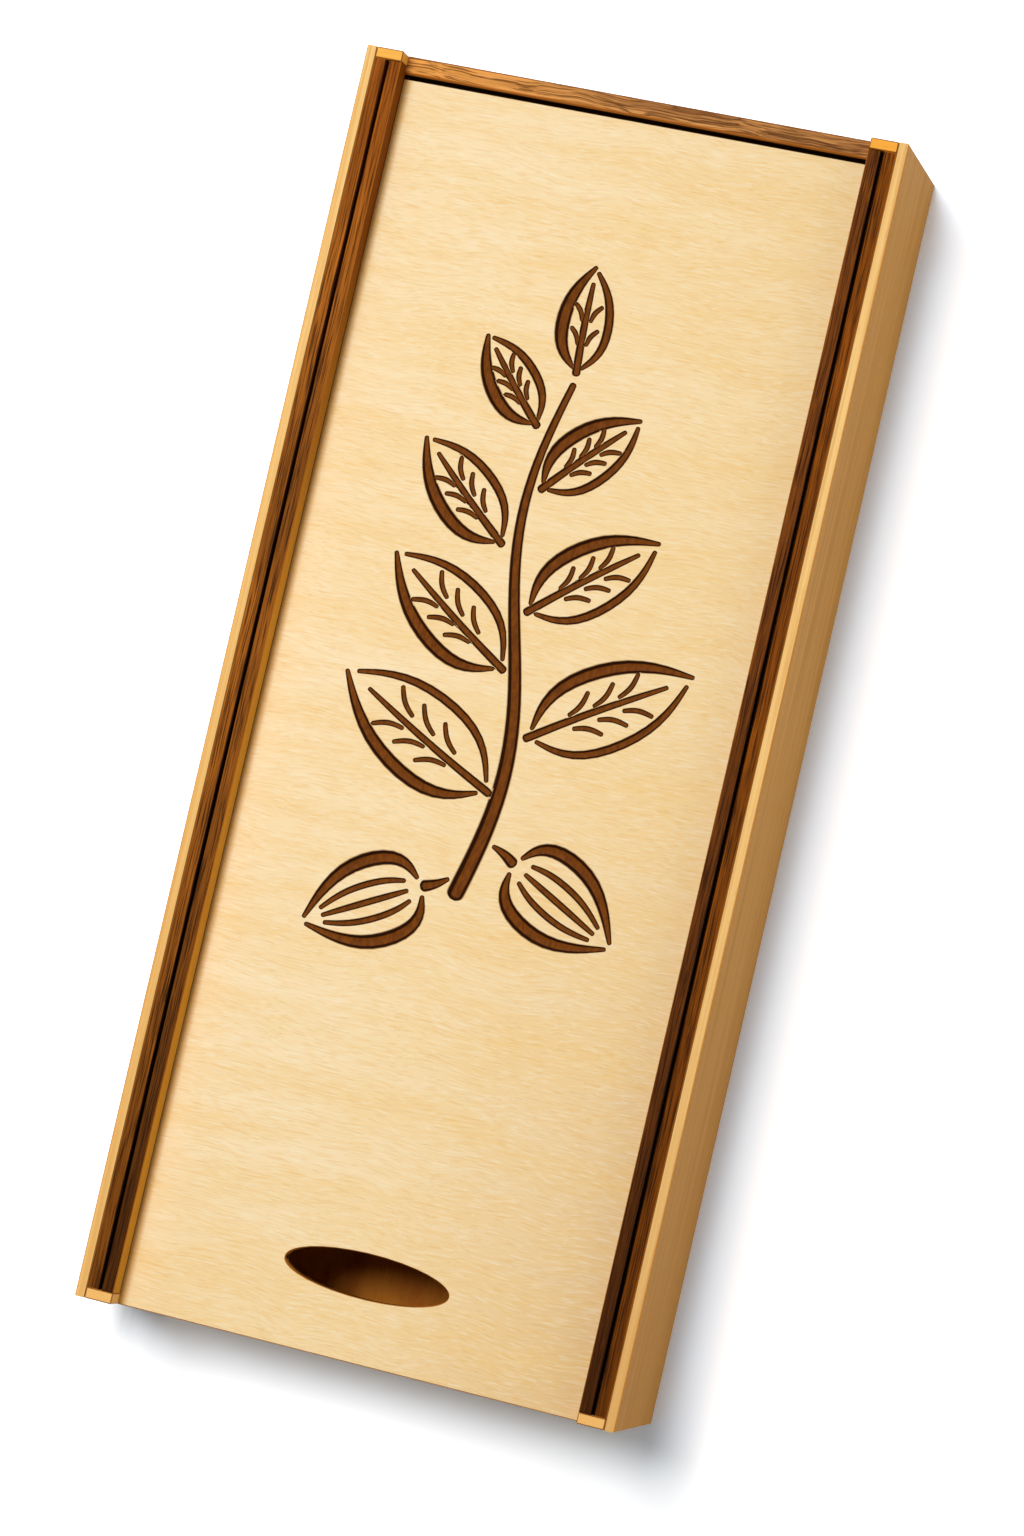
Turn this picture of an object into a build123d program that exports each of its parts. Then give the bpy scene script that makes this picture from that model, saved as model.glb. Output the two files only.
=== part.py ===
"""A slim plywood box for bars of chocolate, with a lid that slides out at the front.

Each long wall is a stack of boards: a pale side panel outside, a liner against it, and on the
liner a ledge under the lid and a rail over it. The lid runs in the groove between the two.
X is across the box, -Y is the front, where the lid leaves, and Z is up from the underside.
Right-hand pieces are modelled, and the left-hand ones are their mirror images.
"""

import os

from build123d import *

# Overall size
box_width = 150.0
box_length = 343.0
box_height = 50.0

# Boards
side_panel_thickness = 2.8
liner_thickness = 3.3
rail_top_thickness = 3.4
back_panel_thickness = 5.0
front_panel_thickness = 3.0
post_thickness = 3.0
base_thickness = 3.0
lid_thickness = 3.0

# Lid and its groove
lid_depth = 6.6
lid_head_clearance = 0.3
lid_side_clearance = 0.5
lid_back_gap = 1.0

# Shadow line between the liner and the rail
shadow_line_width = 0.85
shadow_line_depth = 3.0

# Top of the back panel, below the tops of the walls
back_panel_drop = 5.5

# Finger slot in the lid
slot_length = 45.5
slot_width = 11.8
slot_setback = 23.0

# Eased edges
panel_edge_radius = 0.5
strip_edge_chamfer = 0.2
block_edge_chamfer = 0.3
end_panel_edge_chamfer = 0.4
lid_edge_chamfer = 0.25

# Planes that the boards meet on
side_x = box_width / 2
liner_outer_x = side_x - side_panel_thickness
liner_inner_x = liner_outer_x - liner_thickness
wall_inner_x = liner_inner_x - shadow_line_width - rail_top_thickness
end_y = box_length / 2
post_inner_y = end_y - post_thickness
back_panel_inner_y = end_y - back_panel_thickness
lid_top_z = box_height - lid_depth
lid_bottom_z = lid_top_z - lid_thickness
rail_bottom_z = lid_top_z + lid_head_clearance
back_panel_top_z = box_height - back_panel_drop

wall_stack_width = liner_outer_x - wall_inner_x
wall_stack_x = (liner_outer_x + wall_inner_x) / 2
strip_length = 2 * post_inner_y
lid_width = 2 * (liner_inner_x - lid_side_clearance)
lid_back_y = back_panel_inner_y - lid_back_gap
lid_length = end_y + lid_back_y

os.makedirs("parts", exist_ok=True)


def write(piece, name):
    """Labels a finished piece and writes its file."""
    piece.part.label = name
    export_step(piece.part, f"parts/{name}.step")


def write_pair(piece, name):
    """Writes a right-hand piece and its mirror image on the left."""
    with BuildPart() as twin:
        mirror(piece.part, about=Plane.YZ)
    write(piece, f"right_{name}")
    write(twin, f"left_{name}")


# Base panel: everything but the side panels stands on it
with BuildPart() as base_panel:
    with BuildSketch(Plane.XY):
        Rectangle(2 * liner_outer_x, box_length)
    extrude(amount=base_thickness)
    chamfer(base_panel.faces().sort_by(Axis.Z)[0].edges(), length=strip_edge_chamfer)
write(base_panel, "base_panel")

# Side panel: the pale outer board, full height and full length, with all its edges eased
with BuildPart() as side_panel:
    with BuildSketch(Plane.YZ.offset(liner_outer_x)):
        with Locations((0, box_height / 2)):
            Rectangle(box_length, box_height)
    extrude(amount=side_panel_thickness)
    outer_face = side_panel.faces().sort_by(Axis.X)[-1]
    fillet(outer_face.edges(), radius=panel_edge_radius)
    inner_face = side_panel.faces().sort_by(Axis.X)[0]
    chamfer(inner_face.edges(), length=strip_edge_chamfer)
write_pair(side_panel, "side_panel")

# Liner: the board glued to the side panel, whose burnt top edge is the outer dark strip
with BuildPart() as liner:
    with BuildSketch(Plane.XZ.offset(-post_inner_y)):
        with Locations(((liner_outer_x + liner_inner_x) / 2, (box_height + base_thickness) / 2)):
            Rectangle(liner_thickness, box_height - base_thickness)
    extrude(amount=strip_length)
    chamfer(liner.faces().sort_by(Axis.Z)[-1].edges(), length=strip_edge_chamfer)
write_pair(liner, "liner")

# Ledge: the strip that carries the lid's edge
with BuildPart() as ledge:
    with BuildSketch(Plane.XZ.offset(-post_inner_y)):
        with Locations(((liner_inner_x + wall_inner_x) / 2, (lid_bottom_z + base_thickness) / 2)):
            Rectangle(liner_inner_x - wall_inner_x, lid_bottom_z - base_thickness)
    extrude(amount=strip_length)
    top_edges = ledge.faces().sort_by(Axis.Z)[-1].edges().filter_by(Axis.Y)
    chamfer(top_edges.sort_by(Axis.X)[0], length=strip_edge_chamfer)
write_pair(ledge, "ledge")

# Rail: the strip over the lid's edge, rebated along the liner so that a shadow line shows
with BuildPart() as rail:
    with BuildSketch(Plane.XZ.offset(-post_inner_y)):
        with BuildLine():
            Polyline(
                (liner_inner_x, rail_bottom_z),
                (liner_inner_x, box_height - shadow_line_depth),
                (liner_inner_x - shadow_line_width, box_height - shadow_line_depth),
                (liner_inner_x - shadow_line_width, box_height),
                (wall_inner_x, box_height),
                (wall_inner_x, rail_bottom_z),
                close=True,
            )
        make_face()
    extrude(amount=strip_length)
    chamfer(rail.faces().sort_by(Axis.Z)[-1].edges(), length=strip_edge_chamfer)
write_pair(rail, "rail")


def end_block(bottom_z, top_z, end):
    """A block that closes a wall's stack of strips at one end, from bottom_z up to top_z."""
    middle_y = end * (end_y - post_thickness / 2)
    with BuildPart() as block:
        with BuildSketch(Plane.XY.offset(bottom_z)):
            with Locations((wall_stack_x, middle_y)):
                Rectangle(wall_stack_width, post_thickness)
        extrude(amount=top_z - bottom_z)
        chamfer(block.edges(), length=block_edge_chamfer)
    return block


# Posts and caps: the back post is whole, and the lid's way out parts the front one in two
write_pair(end_block(base_thickness, box_height, 1), "back_post")
write_pair(end_block(base_thickness, lid_bottom_z, -1), "front_post")
write_pair(end_block(rail_bottom_z, box_height, -1), "front_cap")


def end_panel(thickness, top_z, end):
    """A panel between the two walls at one end, standing on the base."""
    middle_y = end * (end_y - thickness / 2)
    with BuildPart() as panel:
        with BuildSketch(Plane.XY.offset(base_thickness)):
            with Locations((0, middle_y)):
                Rectangle(2 * wall_inner_x, thickness)
        extrude(amount=top_z - base_thickness)
        long_edges = panel.faces().sort_by(Axis.Z)[-1].edges().filter_by(Axis.X)
        chamfer(long_edges, length=end_panel_edge_chamfer)
    return panel


# End panels: the back one stops the lid, and the lid passes over the front one
write(end_panel(back_panel_thickness, back_panel_top_z, 1), "back_panel")
write(end_panel(front_panel_thickness, lid_bottom_z, -1), "front_panel")

# Lid: a thin panel with an oval finger slot near its front edge
with BuildPart() as lid:
    with BuildSketch(Plane.XY.offset(lid_bottom_z)):
        with Locations((0, lid_back_y - lid_length / 2)):
            Rectangle(lid_width, lid_length)
        with Locations((0, slot_setback - end_y)):
            Ellipse(slot_length / 2, slot_width / 2, mode=Mode.SUBTRACT)
    extrude(amount=lid_thickness)
    top_face = lid.faces().sort_by(Axis.Z)[-1]
    chamfer(top_face.edges(), length=lid_edge_chamfer)
write(lid, "lid")
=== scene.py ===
"""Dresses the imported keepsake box: wood finishes, an engraved lid, and a plain white stage.

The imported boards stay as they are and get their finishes. The lid is the one new piece: a copy
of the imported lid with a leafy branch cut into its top, the way a laser engraves bare plywood.
"""

import math

import bmesh
import bpy
from bpy.props import FloatProperty, FloatVectorProperty, PointerProperty
from mathutils import Matrix, Vector


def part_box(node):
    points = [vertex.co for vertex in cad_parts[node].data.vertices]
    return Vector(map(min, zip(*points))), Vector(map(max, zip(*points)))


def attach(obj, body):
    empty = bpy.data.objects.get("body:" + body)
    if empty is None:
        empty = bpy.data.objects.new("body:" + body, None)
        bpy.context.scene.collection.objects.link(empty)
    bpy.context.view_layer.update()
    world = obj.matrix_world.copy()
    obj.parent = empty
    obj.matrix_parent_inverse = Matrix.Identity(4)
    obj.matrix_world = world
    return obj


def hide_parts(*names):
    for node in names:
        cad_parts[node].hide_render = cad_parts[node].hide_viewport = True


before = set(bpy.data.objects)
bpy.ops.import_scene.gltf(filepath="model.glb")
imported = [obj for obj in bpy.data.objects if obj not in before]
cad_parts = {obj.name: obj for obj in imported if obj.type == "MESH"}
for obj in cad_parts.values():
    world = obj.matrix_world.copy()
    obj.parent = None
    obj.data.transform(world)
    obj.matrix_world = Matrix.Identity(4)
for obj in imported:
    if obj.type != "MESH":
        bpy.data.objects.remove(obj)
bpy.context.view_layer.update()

bl_info = {
    "name": "Sliding-lid keepsake box",
    "version": (1, 0, 0),
    "blender": (4, 5, 0),
    "location": "3D View > Sidebar > Keepsake box",
    "description": "Finishes the boards of a slim plywood box and engraves its sliding lid",
    "category": "Object",
}

MM = 0.001
AXES = "XYZ"

# Points that lie closer together than this become one
WELD = 0.001 * MM

# Depths below the lid's top, in mm: the end of the scorched lip, then where the engraved floor and the
# underside begin and where they are whole
LIP_END = 0.035
FLOOR_START, FLOOR_WHOLE = 0.08, 0.14
UNDERSIDE_START, UNDERSIDE_WHOLE = 2.9, 2.98

# Where the painted shade at the foot of the rails' faces begins and is whole, by its height in mm, and
# likewise the orange front edge of the back panel's top, by its place along the box
SHADED_FOOT_START, SHADED_FOOT_WHOLE = 44.5, 44.0
EDGE_START, EDGE_WHOLE = 167.4, 167.0

# Refraction of dry wood, and how strongly its fine relief shows
WOOD_IOR = 1.45
RELIEF_STRENGTH = 0.4

# The paper reaches this far on each side, and lies this far under the box
PAPER_REACH = 4.0
PAPER_DROP = 0.1 * MM
# A ray shorter than this passes through the paper
CLOSE_BY = 2 * MM

# Tones of the paper for the camera. The wood throws warm light on the paper close by, so the paper is
# bluer there than further off
PAPER_NEAR = (1.42, 1.56, 1.71, 1.0)
PAPER_AT_WALL = (1.24, 1.52, 1.91, 1.0)
PAPER_BESIDE = (1.52, 1.83, 2.16, 1.0)
PAPER_FURTHER_OFF = (1.52, 1.56, 1.6, 1.0)
# Painted shadow: a darker paper in front of the box, and a grey laid over the paper as shade
PAPER_IN_FRONT = (1.28, 1.3, 1.32, 1.0)
PAPER_SHADE = (0.2, 0.2, 0.2, 1.0)
# Its grey for the light that it throws back
PAPER_GREY = (0.4, 0.4, 0.4, 1.0)


def linear(hex_colour):
    """The linear RGBA of an sRGB colour written as six hex digits."""
    shares = [int(hex_colour[place:place + 2], 16) / 255 for place in (0, 2, 4)]
    light = [s / 12.92 if s <= 0.04045 else ((s + 0.055) / 1.055) ** 2.4 for s in shares]
    return (*light, 1.0)


# Near-black painted into the shadow line between the strips, as shade
PAINTED_GAP_SHADE = linear("0C0502")


def colour(name, description, hex_colour):
    """A colour that the user can change, with an sRGB default."""
    return FloatVectorProperty(
        name=name, description=description, default=linear(hex_colour),
        subtype="COLOR", size=4, min=0.0, max=1.0,
    )


class WoodColours(bpy.types.PropertyGroup):
    """Colours of the woods and of what the laser did to them."""

    lid_pale: colour("Lid, pale", "Creamy ground of the lid's birch face", "FBE2B5")
    # Also the painted shade that deepens the lid towards its right and its front
    lid_warm: colour("Lid, warm", "Warmer bands and growth lines of the lid's face", "F5CE88")
    lid_fleck: colour("Lid, flecks", "Short tan flecks in the lid's face", "E8B052")
    board_pale: colour("Side board, edge", "Pale edges of the outer side boards", "FFD48A")
    # The wide faces' colour is painted warm shade on the same wood as the pale edges
    board_face: colour("Side board, face", "Wide faces of the outer side boards", "FCB963")
    # Also the painted shade on the left board, towards the front
    board_warm: colour("Side board, grain", "Growth lines of the side boards", "E0A04C")
    burnt_dark: colour("Burnt edge, dark", "Darkest streaks of the laser-burnt edges", "1E0B02")
    burnt_brown: colour("Burnt edge, brown", "Ground of the most burnt edges", "7E4210")
    burnt_amber: colour("Burnt edge, amber", "Ground of the edges that are burnt less", "9E5206")
    burnt_tan: colour("Burnt edge, tan", "Ground of the edges that are burnt least", "C06E1E")
    burnt_arris: colour("Burnt edge, arris", "Corner of a burnt edge, where it is rubbed lighter", "B46A20")
    amber_pale: colour("Inside, pale", "Pale bands of the amber boards inside the box", "D48222")
    amber_warm: colour("Inside, warm", "Warm bands of the amber boards inside the box", "A85408")
    end_pale: colour("End panel, pale", "Ground of the end panels' outer faces", "F0C07A")
    end_warm: colour("End panel, warm", "Bands and flecks of the end panels' outer faces", "DC9C4C")
    back_pale: colour("Back panel, pale", "Pale streaks of the back panel's top", "EEA65E")
    back_dark: colour("Back panel, dark", "Dark grain of the back panel's top", "5A2A0C")
    honey_pale: colour("End block, pale", "Ground of the honey-coloured end blocks", "FAB648")
    honey_warm: colour("End block, warm", "Grain of the end blocks", "E8A138")
    char_dark: colour("Engraving, dark", "Charred walls of the engraved lines", "2C1203")
    char_brown: colour("Engraving, brown", "Toasted floor of the engraved lines", "7C410A")


class OrnamentSizes(bpy.types.PropertyGroup):
    """Sizes of the leafy branch engraved in the lid."""

    height: FloatProperty(
        name="Height", description="Length of the branch's stem", default=138 * MM, unit="LENGTH"
    )
    centre: FloatProperty(
        name="Centre", description="Middle of the stem, towards the back of the box",
        default=24 * MM, unit="LENGTH",
    )
    leaf_length: FloatProperty(
        name="Leaf length", description="Length of the lowest leaf", default=50 * MM, unit="LENGTH"
    )
    line_width: FloatProperty(
        name="Line width", description="Width of the leaves' outlines", default=2.7 * MM, unit="LENGTH"
    )


class StageSettings(bpy.types.PropertyGroup):
    """Camera and light of the studio."""

    camera_place: FloatVectorProperty(
        name="Camera place", description="Where the camera stands", subtype="TRANSLATION", unit="LENGTH",
        default=(294.881 * MM, -58.375 * MM, 1229.155 * MM),
    )
    camera_turn: FloatVectorProperty(
        name="Camera turn", description="How the camera is turned", subtype="EULER", unit="ROTATION",
        default=tuple(math.radians(angle) for angle in (5.35814, 12.75906, 13.36544)),
    )
    camera_lens: FloatProperty(
        name="Lens", description="Focal length on a 36 mm sensor", subtype="DISTANCE_CAMERA", default=108.494
    )
    key_tilt: FloatVectorProperty(
        name="Key light direction", description="Which way the key light shines", subtype="DIRECTION",
        default=(0.19, -0.28, -1.0),
    )
    key_strength: FloatProperty(
        name="Key light strength", description="Light of the key on a level surface", default=1.67
    )
    key_softness: FloatProperty(
        name="Key light softness", description="Angle across the key light", unit="ROTATION", default=0.36
    )
    side_place: FloatVectorProperty(
        name="Side light place", description="Where the soft side light stands", subtype="TRANSLATION",
        unit="LENGTH", default=(-0.23, 0.1, 0.62),
    )
    side_power: FloatProperty(
        name="Side light power", description="Power of the soft side light", unit="POWER", default=1.15
    )
    side_size: FloatProperty(
        name="Side light size", description="Side of the square side light", unit="LENGTH", default=0.3
    )
    fill_tilt: FloatVectorProperty(
        name="Fill light direction", description="Which way the low fill light shines", subtype="DIRECTION",
        default=(-0.93, 0.1, -0.35),
    )
    fill_strength: FloatProperty(
        name="Fill light strength", description="Light of the fill on the right wall", default=0.64
    )
    fill_softness: FloatProperty(
        name="Fill light softness", description="Angle across the fill light", unit="ROTATION", default=1.0
    )
    room_light: FloatProperty(
        name="Room light", description="Strength of the even light from all round", default=0.16
    )


class BoxSettings(bpy.types.PropertyGroup):
    """All that the user may change."""

    colours: PointerProperty(type=WoodColours, name="Colours", description="Colours of the woods")
    ornament: PointerProperty(type=OrnamentSizes, name="Ornament", description="Sizes of the engraved branch")
    stage: PointerProperty(type=StageSettings, name="Stage", description="Camera and light")


def add_node(tree, kind, inputs, **settings):
    """Adds one node: its settings by name, and its inputs as plain values or as sockets to link."""
    node = tree.nodes.new(kind)
    for name, value in settings.items():
        setattr(node, name, value)
    for socket, value in inputs.items():
        if isinstance(value, bpy.types.NodeSocket):
            tree.links.new(value, node.inputs[socket])
        else:
            node.inputs[socket].default_value = value
    return node


def new_finish(name):
    """A new material: its node tree and its shader."""
    material = bpy.data.materials.new(name)
    material.use_nodes = True
    tree = material.node_tree
    return material, tree, tree.nodes["Principled BSDF"]


def place_of(tree):
    """Where a point lies in the box's own frame, in metres."""
    return add_node(tree, "ShaderNodeTexCoord", {}).outputs["Object"]


def swayed_place(tree, sway_mm, every_mm):
    """Places that sway a little, so that grain drawn on them isn't ruled straight."""
    place = place_of(tree)
    wander = {"Vector": place, "Scale": 1 / (every_mm * MM), "Detail": 1.0}
    sway = add_node(tree, "ShaderNodeTexNoise", wander).outputs["Color"]
    moved = {0: sway, 1: [sway_mm * MM] * 3, 2: place}
    return add_node(tree, "ShaderNodeVectorMath", moved, operation="MULTIPLY_ADD").outputs[0]


def streaks(tree, place, axis, length_mm, width_mm, low, high):
    """Streaks along one axis, of a real length and width; noise from low to high becomes 0 to 1."""
    per_metre = [1 / (width_mm * MM)] * 3
    per_metre[AXES.index(axis)] = 1 / (length_mm * MM)
    drawn_out = add_node(tree, "ShaderNodeMapping", {"Vector": place, "Scale": per_metre}).outputs[0]
    grain = {"Vector": drawn_out, "Scale": 1.0, "Detail": 3.0}
    noise = add_node(tree, "ShaderNodeTexNoise", grain).outputs[0]
    share = {"Value": noise, "From Min": low, "From Max": high}
    return add_node(tree, "ShaderNodeMapRange", share).outputs[0]


def figure(tree, place, length_mm, width_mm, waves, low, high):
    """Wavy growth lines across the box: broad streaks folded into many lines, whose crests become 1."""
    swell = streaks(tree, place, "X", length_mm, width_mm, 0.0, 1.0)
    folded = add_node(tree, "ShaderNodeMath", {0: swell, 1: waves}, operation="MULTIPLY").outputs[0]
    folded = add_node(tree, "ShaderNodeMath", {0: folded}, operation="SINE").outputs[0]
    crests = {"Value": folded, "From Min": low, "From Max": high}
    return add_node(tree, "ShaderNodeMapRange", crests).outputs[0]


def facing(tree, axis):
    """Two masks from the way a surface faces: 1 where it looks along the axis, and 1 on an eased arris."""
    normal = add_node(tree, "ShaderNodeTexCoord", {}).outputs["Normal"]
    turned = add_node(tree, "ShaderNodeVectorMath", {0: normal}, operation="ABSOLUTE").outputs[0]
    parts = add_node(tree, "ShaderNodeSeparateXYZ", {0: turned}).outputs
    # Cosines: the first mask is whole within 11 degrees of the axis and gone at 26, and an arris leans
    # from every axis, by 32 degrees or more where its mask is whole
    along = {"Value": parts[AXES.index(axis)], "From Min": 0.9, "From Max": 0.98}
    along = add_node(tree, "ShaderNodeMapRange", along).outputs[0]
    largest = add_node(tree, "ShaderNodeMath", {0: parts[0], 1: parts[1]}, operation="MAXIMUM").outputs[0]
    largest = add_node(tree, "ShaderNodeMath", {0: largest, 1: parts[2]}, operation="MAXIMUM").outputs[0]
    arris = {"Value": largest, "From Min": 0.99, "From Max": 0.85}
    arris = add_node(tree, "ShaderNodeMapRange", arris).outputs[0]
    return along, arris


def towards_middle(tree):
    """A mask across the box: 1 where a surface looks to the box's middle, 0 where it looks up or outwards."""
    normal = add_node(tree, "ShaderNodeTexCoord", {}).outputs["Normal"]
    across = add_node(tree, "ShaderNodeSeparateXYZ", {0: normal}).outputs[0]
    side = add_node(tree, "ShaderNodeSeparateXYZ", {0: place_of(tree)}).outputs[0]
    # Below 0 where the surface looks inwards: the walls stand about 0.07 m from the middle
    outward = add_node(tree, "ShaderNodeMath", {0: across, 1: side}, operation="MULTIPLY").outputs[0]
    inward = {"Value": outward, "From Min": -0.01, "From Max": -0.04}
    return add_node(tree, "ShaderNodeMapRange", inward).outputs[0]


def fade(tree, axis, start_mm, end_mm):
    """A mask along one axis of the box: 0 at the start, 1 at the end, and a straight run between them."""
    spot = add_node(tree, "ShaderNodeSeparateXYZ", {0: place_of(tree)}).outputs[AXES.index(axis)]
    span = {"Value": spot, "From Min": start_mm * MM, "From Max": end_mm * MM}
    return add_node(tree, "ShaderNodeMapRange", span).outputs[0]


def towards_corner(tree, across_mm, start_mm, end_mm):
    """A mask that grows towards one corner of the box."""
    ways = {0: fade(tree, "X", 0.0, across_mm), 1: fade(tree, "Y", start_mm, end_mm)}
    return add_node(tree, "ShaderNodeMath", ways, operation="MULTIPLY").outputs[0]


def stretch(tree, axis, rise, fall):
    """A mask along one axis of the box: it rises over one span, in mm, and falls over another."""
    ends = {0: fade(tree, axis, *rise), 1: fade(tree, axis, *reversed(fall))}
    return add_node(tree, "ShaderNodeMath", ends, operation="MULTIPLY").outputs[0]


def patch(tree, across, along):
    """A mask over a patch: a stretch across the box times one along it, each a rise and a fall, in mm."""
    ways = {0: stretch(tree, "X", *across), 1: stretch(tree, "Y", *along)}
    return add_node(tree, "ShaderNodeMath", ways, operation="MULTIPLY").outputs[0]


def layered(tree, ground, *layers):
    """Lays colours over a ground, one after another: each has a mask, a tint and the most that it covers."""
    surface = ground
    for mask, tint, most in layers:
        share = add_node(tree, "ShaderNodeMath", {0: mask, 1: most}, operation="MULTIPLY").outputs[0]
        mixed = {0: share, 6: surface, 7: tint}
        surface = add_node(tree, "ShaderNodeMix", mixed, data_type="RGBA").outputs[2]
    return surface


def finish_shader(tree, shader, surface, relief, relief_mm, smooth, rough, sheen):
    """Joins the colour, a fine relief and a roughness that follows it to the shader."""
    tree.links.new(surface, shader.inputs["Base Color"])
    gloss = {"Value": relief, "To Min": smooth, "To Max": rough}
    gloss = add_node(tree, "ShaderNodeMapRange", gloss).outputs[0]
    tree.links.new(gloss, shader.inputs["Roughness"])
    height = {"Height": relief, "Strength": RELIEF_STRENGTH, "Distance": relief_mm * MM}
    bump = add_node(tree, "ShaderNodeBump", height).outputs[0]
    tree.links.new(bump, shader.inputs["Normal"])
    shader.inputs["IOR"].default_value = WOOD_IOR
    shader.inputs["Specular IOR Level"].default_value = sheen


def engraved_birch(colours, lid_top):
    """Birch plywood face, sanded, left bare and engraved by laser.

    Rotary-cut birch gives a creamy ground, faint wavy growth lines and many short flecks across the box,
    pale ones and tan ones. Painted shade deepens it towards the right, towards the front and most at the
    front right, and a painted golden shade lies beside the left rail. Where the laser went the wood is
    scorched at the lip, dark on the walls and toasted on the floor, so the colour follows the depth below
    the lid's top.
    """
    material, tree, shader = new_finish("laser-engraved birch plywood")
    place = swayed_place(tree, sway_mm=6.0, every_mm=30.0)
    bands = streaks(tree, place, "X", 60.0, 8.0, 0.35, 0.65)
    rings = figure(tree, place, 90.0, 14.0, 90.0, 0.2, 1.0)
    pale_flecks = streaks(tree, place, "X", 5.0, 0.6, 0.5, 0.7)
    flecks = streaks(tree, place, "X", 6.0, 0.45, 0.5, 0.7)
    # Birch pores are about 0.1 mm wide: drawn three times as wide, so that they show
    pores = streaks(tree, place, "X", 2.2, 0.3, 0.66, 0.8)
    mottle = streaks(tree, place, "Y", 2.4, 0.9, 0.35, 0.68)

    top_mm = lid_top / MM
    lip = fade(tree, "Z", top_mm, top_mm - LIP_END)
    floor = fade(tree, "Z", top_mm - FLOOR_START, top_mm - FLOOR_WHOLE)
    underside = fade(tree, "Z", top_mm - UNDERSIDE_START, top_mm - UNDERSIDE_WHOLE)
    level, arris = facing(tree, "Z")
    by_the_slot = fade(tree, "Y", -100.0, -110.0)
    rim = add_node(tree, "ShaderNodeMath", {0: arris, 1: by_the_slot}, operation="MULTIPLY").outputs[0]
    # Painted golden shade on the lid along the foot of the left rail
    painted_golden_shade_by_rail = stretch(tree, "X", (-62.1, -64.2), (-65.0, -65.6))

    wood = layered(
        tree, colours.lid_pale,
        # Painted shade: the lid darker towards the right, towards the front, and most at the front right
        (fade(tree, "X", -30.0, 75.0), colours.lid_warm, 0.45),
        (fade(tree, "Y", -130.0, -172.0), colours.lid_warm, 0.3),
        (towards_corner(tree, 70.0, 20.0, -165.0), linear("B4744C"), 0.28),
        (bands, colours.lid_warm, 0.5),
        (rings, colours.lid_warm, 0.22),
        (pale_flecks, linear("FFF3DA"), 0.32),
        (flecks, colours.lid_fleck, 0.29),
        (pores, linear("C08A46"), 0.35),
        (painted_golden_shade_by_rail, linear("E6A014"), 0.66),
    )
    toasted = layered(tree, colours.char_brown, (mottle, colours.char_dark, 0.45))
    cut = layered(tree, wood, (lip, linear("D2944A"), 0.55), (floor, toasted, 1.0))
    cut = layered(tree, colours.char_dark, (level, cut, 1.0), (rim, linear("C47A26"), 0.9))
    surface = layered(tree, cut, (underside, wood, 1.0))
    finish_shader(tree, shader, surface, flecks, relief_mm=0.05, smooth=0.52, rough=0.68, sheen=0.05)
    return material


def pale_board(colours):
    """Side board of pale softwood, sanded and oiled.

    Fine straight growth lines run along its length. Painted shade deepens it towards the front: the left
    board over most of its length, the right one near its front end. Its wide faces are a more orange
    colour than its edges, as painted warm shade. The laser has left its outer arris orange and its inner
    one dark, so that a thin line parts it from the strip beside it.
    """
    material, tree, shader = new_finish("oiled pale board")
    place = swayed_place(tree, sway_mm=1.2, every_mm=60.0)
    bands = streaks(tree, place, "Y", 160.0, 4.0, 0.35, 0.65)
    veins = streaks(tree, place, "Y", 130.0, 1.8, 0.52, 0.64)
    lines = streaks(tree, place, "Y", 70.0, 0.6, 0.38, 0.72)
    pores = streaks(tree, place, "Y", 5.0, 0.3, 0.62, 0.78)
    end, arris = facing(tree, "Y")
    corner = layered(tree, linear("DE8724"), (towards_middle(tree), colours.burnt_dark, 0.9))
    surface = layered(
        tree, colours.board_pale,
        # Painted shade: the left board darker towards the front
        (towards_corner(tree, -70.0, 170.0, -60.0), colours.board_warm, 0.42),
        # Painted warm shade: the wide faces more orange than the edges
        (facing(tree, "X")[0], colours.board_face, 1.0),
        # Painted shade: the right board darker towards its front end
        (towards_corner(tree, 70.0, 20.0, -165.0), linear("B0743A"), 0.35),
        (bands, colours.board_warm, 0.3),
        (veins, linear("C27A34"), 0.32),
        (lines, colours.board_warm, 0.5),
        (pores, linear("B5742C"), 0.4),
        (end, linear("C28038"), 0.6),
        (arris, corner, 0.75),
    )
    finish_shader(tree, shader, surface, lines, relief_mm=0.05, smooth=0.5, rough=0.65, sheen=0.03)
    return material


def burnt_streaks(tree, colours, place, axis, ground):
    """The streaky brown of a plywood edge that the laser has burnt, like oiled walnut."""
    broad = streaks(tree, place, axis, 60.0, 1.0, 0.36, 0.66)
    dark = streaks(tree, place, axis, 16.0, 0.3, 0.45, 0.62)
    light = streaks(tree, place, axis, 9.0, 0.3, 0.56, 0.74)
    surface = layered(
        tree, ground,
        (broad, colours.burnt_dark, 0.4),
        (dark, colours.burnt_dark, 0.82),
        (light, colours.burnt_arris, 0.5),
    )
    return surface, light


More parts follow.
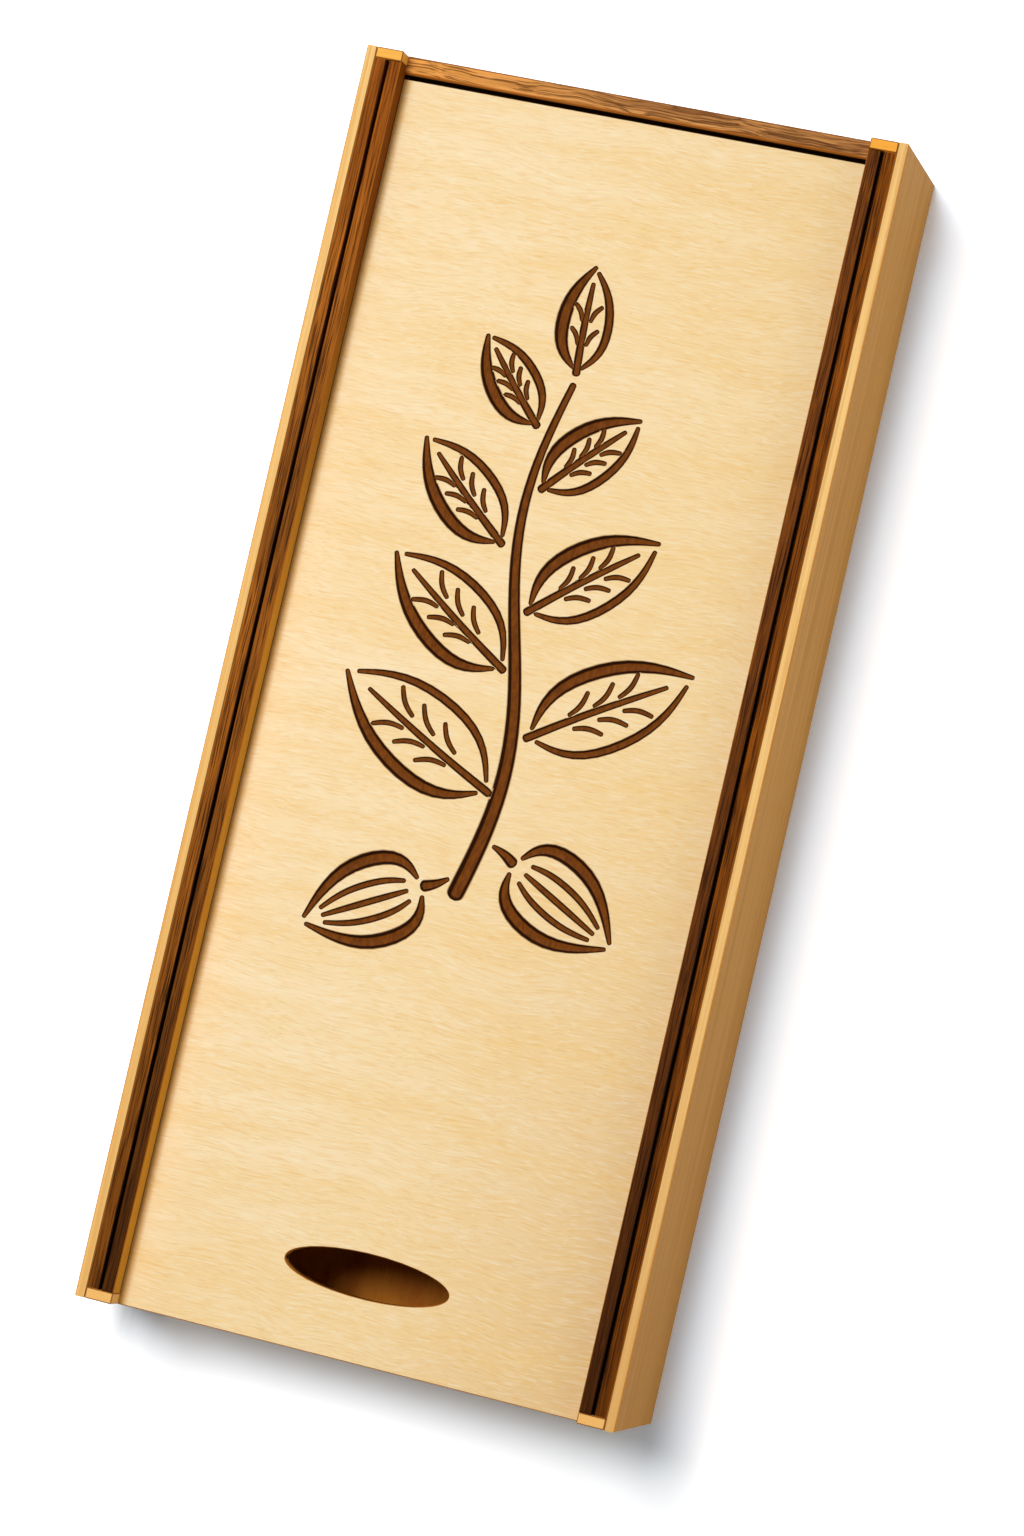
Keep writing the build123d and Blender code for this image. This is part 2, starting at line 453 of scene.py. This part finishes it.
def burnt_strip(colours, name, ground, soot, browner, lid_side, corners):
    """Plywood strip standing on edge: a burnt top, faces painted near-black as shade, and the face towards
    the lid left cleaner.

    Soot gathers along the top towards the front, some strips have a browner stretch in their back half,
    and the back ends of the left ones are a deeper brown. Each strip has a corner at the shadow line that
    is painted near-black as shade, and a corner that is rubbed lighter, given as the outer and the inner
    one. The face towards the lid is painted darker towards the back as shade, and its foot over the lid is
    dark as painted shade.
    """
    material, tree, shader = new_finish(name)
    place = swayed_place(tree, sway_mm=0.8, every_mm=25.0)
    burnt, relief = burnt_streaks(tree, colours, place, "Y", ground)
    burnt = layered(
        tree, burnt,
        (fade(tree, "Y", 60.0, -140.0), colours.burnt_dark, soot),
        (stretch(tree, "Y", (110.0, 54.0), (38.0, 18.0)), colours.burnt_dark, browner),
        (towards_corner(tree, -60.0, 112.0, 150.0), linear("7A3400"), 0.4),
    )
    face, arris = facing(tree, "X")
    clean = layered(
        tree, lid_side,
        (relief, colours.burnt_arris, 0.5),
        # Painted shade: the face towards the lid darker towards the back
        (fade(tree, "Y", 20.0, 120.0), linear("7A3A00"), 0.95),
        # Painted shade at the foot of the face, where it meets the lid
        (fade(tree, "Z", SHADED_FOOT_START, SHADED_FOOT_WHOLE), colours.burnt_dark, 0.85),
    )
    inwards = towards_middle(tree)
    # Painted shade: faces looking outwards, into the shadow line, are near-black
    side = layered(tree, PAINTED_GAP_SHADE, (inwards, clean, 1.0))
    outer, inner = corners
    corner = layered(tree, outer, (inwards, inner, 1.0))
    surface = layered(tree, burnt, (face, side, 1.0), (arris, corner, 0.8))
    finish_shader(tree, shader, surface, relief, relief_mm=0.06, smooth=0.5, rough=0.65, sheen=0.03)
    return material


def back_panel_finish(colours):
    """Back panel: a browned top edge over an amber inner face, painted near-black towards its top as shade,
    with a pale outer face.

    The top's grain is strongly figured: palest at the left, dark from the middle on, and lifted a little
    towards the right end. Its front edge is orange.
    """
    material, tree, shader = new_finish("laser-browned back panel")
    place = swayed_place(tree, sway_mm=2.5, every_mm=14.0)
    broad = streaks(tree, place, "X", 45.0, 1.6, 0.35, 0.65)
    rings = figure(tree, place, 70.0, 2.6, 45.0, 0.1, 0.9)
    grain = streaks(tree, place, "X", 26.0, 0.42, 0.48, 0.6)
    face, arris = facing(tree, "Y")
    paler = fade(tree, "X", 0.0, -55.0)
    darker = fade(tree, "X", -50.0, -5.0)
    lighter = fade(tree, "X", 20.0, 60.0)
    front_edge = fade(tree, "Y", EDGE_START, EDGE_WHOLE)
    normal = add_node(tree, "ShaderNodeTexCoord", {}).outputs["Normal"]
    lengthwise = add_node(tree, "ShaderNodeSeparateXYZ", {0: normal}).outputs[1]
    outside = {"Value": lengthwise, "From Min": 0.5, "From Max": 0.9}
    outside = add_node(tree, "ShaderNodeMapRange", outside).outputs[0]
    top = layered(
        tree, colours.back_pale,
        (broad, colours.back_dark, 0.5),
        (darker, colours.back_dark, 0.24),
        (rings, colours.back_dark, 0.5),
        (paler, linear("FCAA50"), 0.65),
        (lighter, colours.back_pale, 0.13),
        (grain, linear("3E1C08"), 0.7),
        (front_edge, linear("B5651A"), 0.85),
    )
    inner = layered(
        tree, colours.amber_pale,
        (broad, colours.amber_warm, 0.6),
        (grain, colours.back_dark, 0.3),
        # Painted shade: the inner face near-black towards its top, in the gap behind the lid
        (fade(tree, "Z", 36.0, 40.0), linear("120803"), 0.95),
    )
    outer = layered(tree, colours.end_pale, (broad, colours.end_warm, 0.6), (grain, colours.end_warm, 0.4))
    faces = layered(tree, inner, (outside, outer, 1.0))
    surface = layered(tree, top, (face, faces, 1.0), (arris, linear("9A5A20"), 0.8))
    finish_shader(tree, shader, surface, grain, relief_mm=0.06, smooth=0.5, rough=0.65, sheen=0.03)
    return material


def honey_block(colours):
    """Small hardwood block, oiled: honey ground, grain across the box, corners browned by the laser.

    The front ones are paler, and the right one at the back is a deeper orange.
    """
    material, tree, shader = new_finish("oiled honey block")
    place = swayed_place(tree, sway_mm=0.8, every_mm=12.0)
    lines = streaks(tree, place, "X", 14.0, 0.5, 0.38, 0.7)
    pores = streaks(tree, place, "X", 2.0, 0.3, 0.62, 0.78)
    surface = layered(
        tree, colours.honey_pale,
        (lines, colours.honey_warm, 0.4),
        (fade(tree, "Y", 0.0, -100.0), linear("F4C079"), 0.6),
        (towards_corner(tree, 60.0, 100.0, 160.0), linear("FFA61C"), 0.55),
        (pores, linear("A8681E"), 0.25),
        (facing(tree, "Z")[1], linear("8E4A10"), 0.85),
    )
    finish_shader(tree, shader, surface, lines, relief_mm=0.04, smooth=0.45, rough=0.6, sheen=0.15)
    return material


def oiled_plywood(colours, name, pale, warm, face_axis, grain_axis):
    """Oiled birch plywood: faces with bands and short flecks, and edges browned by the laser."""
    material, tree, shader = new_finish(name)
    place = swayed_place(tree, sway_mm=4.0, every_mm=40.0)
    bands = streaks(tree, place, grain_axis, 80.0, 8.0, 0.35, 0.65)
    flecks = streaks(tree, place, grain_axis, 6.0, 0.5, 0.52, 0.78)
    face, arris = facing(tree, face_axis)
    burnt = burnt_streaks(tree, colours, place, grain_axis, colours.burnt_brown)[0]
    wood = layered(tree, pale, (bands, warm, 0.6), (flecks, warm, 0.5))
    surface = layered(tree, burnt, (face, wood, 1.0), (arris, colours.burnt_arris, 0.6))
    finish_shader(tree, shader, surface, flecks, relief_mm=0.05, smooth=0.52, rough=0.68, sheen=0.1)
    return material


def dress(nodes, material):
    """Gives packed boards their finish."""
    for node in nodes:
        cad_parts[node].material_slots[0].material = material


class KEEPSAKE_OT_side_panels(bpy.types.Operator):
    """Finishes the two pale outer boards"""

    bl_idname = "keepsake.side_panels"
    bl_label = "Side panels"

    def execute(self, context):
        colours = context.scene.keepsake.colours
        dress(("left_side_panel", "right_side_panel"), pale_board(colours))
        return {"FINISHED"}


class KEEPSAKE_OT_wall_strips(bpy.types.Operator):
    """Finishes the liners and rails, whose burnt edges are the dark strips along the walls"""

    bl_idname = "keepsake.wall_strips"
    bl_label = "Liners and rails"

    def execute(self, context):
        colours = context.scene.keepsake.colours
        tan, amber, brown = colours.burnt_tan, colours.burnt_amber, colours.burnt_brown
        dark = colours.burnt_dark
        golden = linear("D0922E")
        rubbed = colours.burnt_arris
        # Ground, soot, browner stretch, the face towards the lid, and the outer and inner corners, of which
        # the one at the shadow line is painted shade
        strips = (
            ("left_liner", tan, 0.55, 0.4, dark, (rubbed, PAINTED_GAP_SHADE)),
            ("right_liner", amber, 0.5, 0.3, dark, (rubbed, PAINTED_GAP_SHADE)),
            ("left_rail", tan, 0.82, 0.4, golden, (PAINTED_GAP_SHADE, rubbed)),
            ("right_rail", brown, 0.62, 0.0, brown, (PAINTED_GAP_SHADE, rubbed)),
        )
        for node, *look in strips:
            name = "laser-burnt " + node.replace("_", " ")
            dress([node], burnt_strip(colours, name, *look))
        return {"FINISHED"}


class KEEPSAKE_OT_end_blocks(bpy.types.Operator):
    """Finishes the posts and caps that close the ends of the walls"""

    bl_idname = "keepsake.end_blocks"
    bl_label = "Posts and caps"

    def execute(self, context):
        pieces = ("back_post", "front_post", "front_cap")
        nodes = [f"{side}_{piece}" for side in ("left", "right") for piece in pieces]
        dress(nodes, honey_block(context.scene.keepsake.colours))
        return {"FINISHED"}


class KEEPSAKE_OT_inner_boards(bpy.types.Operator):
    """Finishes the base, the ledges under the lid and the two end panels"""

    bl_idname = "keepsake.inner_boards"
    bl_label = "Base, ledges and end panels"

    def execute(self, context):
        colours = context.scene.keepsake.colours
        amber = (colours.amber_pale, colours.amber_warm)
        pale = (colours.end_pale, colours.end_warm)
        dress(["base_panel"], oiled_plywood(colours, "oiled plywood base", *amber, "Z", "Y"))
        dress(["left_ledge", "right_ledge"], oiled_plywood(colours, "oiled plywood ledge", *amber, "X", "Y"))
        dress(["front_panel"], oiled_plywood(colours, "oiled plywood front", *pale, "Y", "X"))
        dress(["back_panel"], back_panel_finish(colours))
        return {"FINISHED"}


def placing(foot, heading, length, half_width):
    """A way to place points of a leaf or pod, by shares of its length and of half its width."""
    turn = Matrix.Rotation(heading, 2)
    return lambda along, aside: foot + turn @ Vector((along * length, aside * half_width))


def stroke(place, start, bends, end, half_widths):
    """One pen stroke: its points, each with half the width of the line there."""
    points = [place(*point) for point in (start, *bends, end)]
    return list(zip(points, half_widths))


def leaf_strokes(foot, heading, length, half_line, vein_pairs):
    """The strokes of one leaf: two edges, one heavier than the other, a midrib and its veins."""
    place = placing(foot, heading, length, 0.21 * length)
    thin = 0.4 * half_line
    strokes = []
    for side, weight in ((1, 1.25), (-1, 0.8)):
        bends = ((0.22, 1.15 * side), (0.7, 1.05 * side))
        widths = (thin, weight * half_line, weight * half_line, thin)
        tip = (1.0 if side == 1 else 0.95, 0.02 if side == 1 else -0.16)
        strokes.append(stroke(place, (0.03, 0.2 * side), bends, tip, widths))
    rib_widths = (0.75 * half_line, 0.65 * half_line, 0.6 * half_line, thin)
    strokes.append(stroke(place, (-0.02, 0.0), ((0.3, 0.06), (0.6, 0.04)), (0.84, 0.0), rib_widths))
    for pair in range(vein_pairs):
        along = 0.26 + 0.46 * pair / vein_pairs
        for side in (1, -1):
            bends = ((along + 0.08, 0.3 * side),)
            widths = (thin, 0.5 * half_line, thin)
            strokes.append(stroke(place, (along, 0.2 * side), bends, (along + 0.14, 0.6 * side), widths))
    return strokes


def pod_strokes(foot, heading, length, half_line):
    """The strokes of one seed pod: a stalk, two full edges and the ridges between them."""
    place = placing(foot, heading, length, 0.25 * length)
    thin = 0.4 * half_line
    heavy = 1.3 * half_line
    stalk_widths = (thin, 0.8 * half_line, half_line)
    strokes = [stroke(place, (-0.02, 0.0), ((0.08, 0.05),), (0.16, 0.0), stalk_widths)]
    for side in (1, -1):
        bends = ((0.28, 1.2 * side), (0.75, 1.3 * side))
        widths = (thin, heavy, heavy, thin)
        strokes.append(stroke(place, (0.2, 0.3 * side), bends, (1.1, 0.12 * side), widths))
    for aside in (-0.42, 0.0, 0.42):
        bends = ((0.45, 1.25 * aside), (0.75, 1.25 * aside))
        widths = (thin, 0.6 * half_line, 0.6 * half_line, thin)
        strokes.append(stroke(place, (0.3, 0.75 * aside), bends, (0.96, 0.55 * aside), widths))
    return strokes


def branch_strokes(sizes):
    """A leafy branch with two pods: alternate leaves that grow shorter up a swaying stem."""
    half_line = sizes.line_width / 2
    sway = 0.045 * sizes.height

    def stem(share):
        along = (share - 0.5) * sizes.height
        return Vector((sway * math.sin(2 * math.pi * share), sizes.centre + along))

    steps = 8
    stem_points = [stem(step / steps) for step in range(steps + 1)]
    stem_widths = [half_line * (1.5 - 0.11 * step) for step in range(steps + 1)]
    strokes = [list(zip(stem_points, stem_widths))]
    # Each leaf is shorter than the one below it, and stands up more
    leaves = 7
    for leaf in range(leaves):
        share = 0.2 + 0.71 * leaf / (leaves - 1)
        side = 1 if leaf % 2 else -1
        length = sizes.leaf_length * (1 - 0.075 * leaf)
        lean = math.radians(62 - 3.5 * leaf)
        foot = stem(share) + Vector((side * 3.2 * half_line, 0.4 * half_line))
        strokes += leaf_strokes(foot, math.pi / 2 - side * lean, length, half_line, 3)
    top = stem(1.0) + Vector((0, 3.0 * half_line))
    strokes += leaf_strokes(top, math.radians(92), 0.56 * sizes.leaf_length, half_line, 2)
    # The pods hang from the stem's foot, one a little higher than the other
    for side, share in ((1, 0.1), (-1, 0.02)):
        foot = stem(share) + Vector((side * 3.2 * half_line, 0))
        strokes += pod_strokes(foot, math.radians(90 - side * 118), 0.72 * sizes.leaf_length, half_line)
    return strokes


def line_profile():
    """The section of an engraved line, for a half width of 1: flat floor, sloped walls, shallow lips."""
    half = ((0.0, -0.42), (0.58, -0.42), (0.86, -0.3), (1.0, -0.04), (1.5, 0.012), (1.5, 0.4))
    mirrored = [(-aside, height) for aside, height in reversed(half[1:])]
    curve = bpy.data.curves.new("line_profile", "CURVE")
    outline = curve.splines.new("POLY")
    outline.points.add(len(half) + len(mirrored) - 1)
    for point, place in zip(outline.points, (*half, *mirrored)):
        point.co = (*place, 0, 1)
    outline.use_cyclic_u = True
    return bpy.data.objects.new("line_profile", curve)


def rounded(points):
    """A stroke with its two ends rounded off, by close points that narrow the line."""
    # How far past the end a point lies, and how wide the line is there, as shares of its half width
    narrowing = ((0.95, 0.25), (0.75, 0.65), (0.35, 0.95))
    ends = []
    for (end, half_width), (inner, _) in ((points[0], points[1]), (points[-1], points[-2])):
        onward = (end - inner).normalized() * half_width
        ends.append([(end + onward * reach, half_width * width) for reach, width in narrowing])
    return [*ends[0], *points, *reversed(ends[1])]


def engraving_cutter(strokes, lid_top):
    """A closed mesh along all strokes: what the laser takes out of the lid."""
    profile = line_profile()
    curve = bpy.data.curves.new("engraving_path", "CURVE")
    curve.dimensions = "3D"
    curve.twist_mode = "Z_UP"
    curve.resolution_u = 4
    curve.bevel_mode = "OBJECT"
    curve.bevel_object = profile
    curve.use_fill_caps = True
    for points in map(rounded, strokes):
        spline = curve.splines.new("NURBS")
        spline.points.add(len(points) - 1)
        for point, (place, half_width) in zip(spline.points, points):
            point.co = (*place, lid_top, 1)
            point.radius = half_width
        spline.order_u = 4
        spline.use_endpoint_u = True
    path = bpy.data.objects.new("engraving_path", curve)
    bpy.context.scene.collection.objects.link(path)
    mesh = bpy.data.meshes.new_from_object(path.evaluated_get(bpy.context.evaluated_depsgraph_get()))
    bpy.data.objects.remove(path)
    bpy.data.objects.remove(profile)
    shape = bmesh.new()
    shape.from_mesh(mesh)
    bmesh.ops.remove_doubles(shape, verts=shape.verts, dist=WELD)
    bmesh.ops.recalc_face_normals(shape, faces=shape.faces)
    shape.to_mesh(mesh)
    shape.free()
    return mesh


def merged_copy(node):
    """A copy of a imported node's mesh, its loose triangles joined into whole faces."""
    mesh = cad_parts[node].data.copy()
    shape = bmesh.new()
    shape.from_mesh(mesh)
    bmesh.ops.remove_doubles(shape, verts=shape.verts, dist=WELD)
    bmesh.ops.dissolve_limit(shape, angle_limit=math.radians(1), verts=shape.verts, edges=shape.edges)
    shape.to_mesh(mesh)
    shape.free()
    return mesh


def cut_away(piece, cutter):
    """Cuts one object out of another and applies the result."""
    cut = piece.modifiers.new("engraving", "BOOLEAN")
    cut.object = cutter
    cut.operation = "DIFFERENCE"
    cut.solver = "EXACT"
    cut.use_self = True
    graph = bpy.context.evaluated_depsgraph_get()
    whole = piece.data
    piece.data = bpy.data.meshes.new_from_object(piece.evaluated_get(graph))
    piece.modifiers.clear()
    bpy.data.meshes.remove(whole)
    bpy.data.objects.remove(cutter)


class KEEPSAKE_OT_lid(bpy.types.Operator):
    """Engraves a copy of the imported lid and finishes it"""

    bl_idname = "keepsake.lid"
    bl_label = "Engraved lid"

    def execute(self, context):
        settings = context.scene.keepsake
        lid_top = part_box("lid")[1].z
        lid = bpy.data.objects.new("engraved_lid", merged_copy("lid"))
        context.scene.collection.objects.link(lid)
        lid.data.materials.clear()
        lid.data.materials.append(engraved_birch(settings.colours, lid_top))
        whole_faces = len(lid.data.polygons)
        lines = engraving_cutter(branch_strokes(settings.ornament), lid_top)
        cutter = bpy.data.objects.new("engraving_cutter", lines)
        context.scene.collection.objects.link(cutter)
        cut_away(lid, cutter)
        if len(lid.data.polygons) <= whole_faces:
            raise RuntimeError("the engraving didn't cut the lid")
        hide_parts("lid")
        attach(lid, "lid")
        return {"FINISHED"}


def white_for_the_camera(tree):
    """1 for what the camera sees straight on, in a reflection or through something clear."""
    seen = add_node(tree, "ShaderNodeLightPath", {}).outputs
    straight = {0: seen["Is Camera Ray"], 1: seen["Is Glossy Ray"]}
    either = add_node(tree, "ShaderNodeMath", straight, operation="MAXIMUM").outputs[0]
    through = {0: either, 1: seen["Is Transmission Ray"]}
    return add_node(tree, "ShaderNodeMath", through, operation="MAXIMUM").outputs[0]


def white_paper():
    """White paper that reads as pure white to the camera, apart from the box's shadow.

    It is clear from below and to what lies right on it, so that the underside can be looked at. Its tones
    near the box make the shadow neutral, and painted shadow lets it fade slowly in front and starts it at
    the left corner, which is further left than the lights alone put it.
    """
    material, tree, shader = new_finish("white paper")
    tree.nodes.remove(shader)
    beside = layered(
        tree, PAPER_NEAR,
        (fade(tree, "X", 74.5, 76.5), PAPER_AT_WALL, 1.0),
        (fade(tree, "X", 76.0, 82.0), PAPER_BESIDE, 1.0),
    )
    # Painted shadow by the front left and front right corners of the box
    painted_shadow_front_left = patch(tree, ((-83.5, -75.5), (-73.0, -62.0)), ((-191.0, -174.0), (-165.0, -155.0)))
    painted_shadow_front_right = patch(tree, ((0.0, 60.0), (84.0, 98.0)), ((-100.0, -180.0), (-192.0, -208.0)))
    white = layered(
        tree, PAPER_NEAR,
        (stretch(tree, "Y", (172.0, 145.0), (-152.0, -180.0)), beside, 1.0),
        (fade(tree, "X", 80.5, 90.0), PAPER_FURTHER_OFF, 1.0),
        (fade(tree, "X", -67.0, -78.0), PAPER_FURTHER_OFF, 0.9),
        (fade(tree, "Y", -176.0, -196.0), PAPER_FURTHER_OFF, 1.0),
        # Painted shadow: the paper darker in front of the box, so that the shadow fades slowly
        (stretch(tree, "Y", (-182.0, -198.0), (-200.0, -216.0)), PAPER_IN_FRONT, 1.0),
        (painted_shadow_front_right, PAPER_SHADE, 0.12),
        (painted_shadow_front_left, PAPER_SHADE, 0.88),
    )
    tone = {0: white_for_the_camera(tree), 6: PAPER_GREY, 7: white}
    tone = add_node(tree, "ShaderNodeMix", tone, data_type="RGBA").outputs[2]
    paper = add_node(tree, "ShaderNodeBsdfDiffuse", {"Color": tone}).outputs[0]
    reach = add_node(tree, "ShaderNodeLightPath", {}).outputs["Ray Length"]
    close = add_node(tree, "ShaderNodeMath", {0: reach, 1: CLOSE_BY}, operation="LESS_THAN").outputs[0]
    below = add_node(tree, "ShaderNodeNewGeometry", {}).outputs["Backfacing"]
    open_to = add_node(tree, "ShaderNodeMath", {0: close, 1: below}, operation="MAXIMUM").outputs[0]
    clear = add_node(tree, "ShaderNodeBsdfTransparent", {}).outputs[0]
    either = add_node(tree, "ShaderNodeMixShader", {0: open_to, 1: paper, 2: clear}).outputs[0]
    tree.links.new(either, tree.nodes["Material Output"].inputs["Surface"])
    return material


class KEEPSAKE_OT_stage(bpy.types.Operator):
    """Sets up the white floor, the soft light and the camera"""

    bl_idname = "keepsake.stage"
    bl_label = "Stage"

    def execute(self, context):
        scene = context.scene
        settings = scene.keepsake.stage
        self.make_floor(scene)
        self.make_world(scene, settings)
        self.make_lights(scene, settings)
        self.make_camera(scene, settings)
        scene.view_settings.view_transform = "Standard"
        return {"FINISHED"}

    def make_floor(self, scene):
        """A level sheet of paper, just under the box."""
        mesh = bpy.data.meshes.new("floor")
        shape = bmesh.new()
        bmesh.ops.create_grid(shape, x_segments=1, y_segments=1, size=PAPER_REACH)
        bmesh.ops.translate(shape, verts=shape.verts, vec=(0.0, 0.0, -PAPER_DROP))
        shape.to_mesh(mesh)
        shape.free()
        floor = bpy.data.objects.new("floor", mesh)
        scene.collection.objects.link(floor)
        mesh.materials.append(white_paper())

    def make_world(self, scene, settings):
        """Even white light, with a white background for the camera."""
        scene.world = bpy.data.worlds.new("white room")
        scene.world.use_nodes = True
        tree = scene.world.node_tree
        level = {"Value": white_for_the_camera(tree), "To Min": settings.room_light, "To Max": 1.0}
        level = add_node(tree, "ShaderNodeMapRange", level).outputs[0]
        background = tree.nodes["Background"]
        background.inputs["Color"].default_value = (1.0, 1.0, 1.0, 1.0)
        tree.links.new(level, background.inputs["Strength"])

    def make_lights(self, scene, settings):
        """A soft key from nearly overhead, a nearer side light that fades across the lid, and a low fill."""
        suns = (
            ("key_light", settings.key_tilt, settings.key_strength, settings.key_softness),
            ("fill_light", settings.fill_tilt, settings.fill_strength, settings.fill_softness),
        )
        for name, tilt, strength, softness in suns:
            lamp = bpy.data.lights.new(name, "SUN")
            lamp.energy = strength
            lamp.angle = softness
            light = bpy.data.objects.new(name, lamp)
            light.rotation_euler = Vector(tilt).to_track_quat("-Z", "Y").to_euler()
            scene.collection.objects.link(light)
        side = bpy.data.lights.new("side_light", "AREA")
        side.size = settings.side_size
        side.energy = settings.side_power
        side_light = bpy.data.objects.new("side_light", side)
        side_light.location = settings.side_place
        side_light.rotation_euler = (-side_light.location).to_track_quat("-Z", "Y").to_euler()
        scene.collection.objects.link(side_light)

    def make_camera(self, scene, settings):
        """The photograph's view, nearly straight down from the front right."""
        camera = bpy.data.objects.new("camera", bpy.data.cameras.new("camera"))
        camera.data.lens = settings.camera_lens
        camera.location = settings.camera_place
        camera.rotation_euler = settings.camera_turn
        scene.collection.objects.link(camera)
        scene.camera = camera


operators = (
    KEEPSAKE_OT_side_panels,
    KEEPSAKE_OT_wall_strips,
    KEEPSAKE_OT_end_blocks,
    KEEPSAKE_OT_inner_boards,
    KEEPSAKE_OT_lid,
    KEEPSAKE_OT_stage,
)


class KEEPSAKE_PT_sidebar(bpy.types.Panel):
    """Lists the steps that dress the box"""

    bl_idname = "KEEPSAKE_PT_sidebar"
    bl_label = "Keepsake box"
    bl_space_type = "VIEW_3D"
    bl_region_type = "UI"
    bl_category = "Keepsake box"

    def draw(self, context):
        for operator in operators:
            self.layout.operator(operator.bl_idname)


classes = (WoodColours, OrnamentSizes, StageSettings, BoxSettings, *operators, KEEPSAKE_PT_sidebar)


def register():
    for each in classes:
        bpy.utils.register_class(each)
    bpy.types.Scene.keepsake = PointerProperty(type=BoxSettings)


def unregister():
    del bpy.types.Scene.keepsake
    for each in reversed(classes):
        bpy.utils.unregister_class(each)


def main():
    """Dresses the whole box."""
    register()
    bpy.ops.keepsake.side_panels()
    bpy.ops.keepsake.wall_strips()
    bpy.ops.keepsake.end_blocks()
    bpy.ops.keepsake.inner_boards()
    bpy.ops.keepsake.lid()
    bpy.ops.keepsake.stage()


if __name__ == "__main__":
    main()
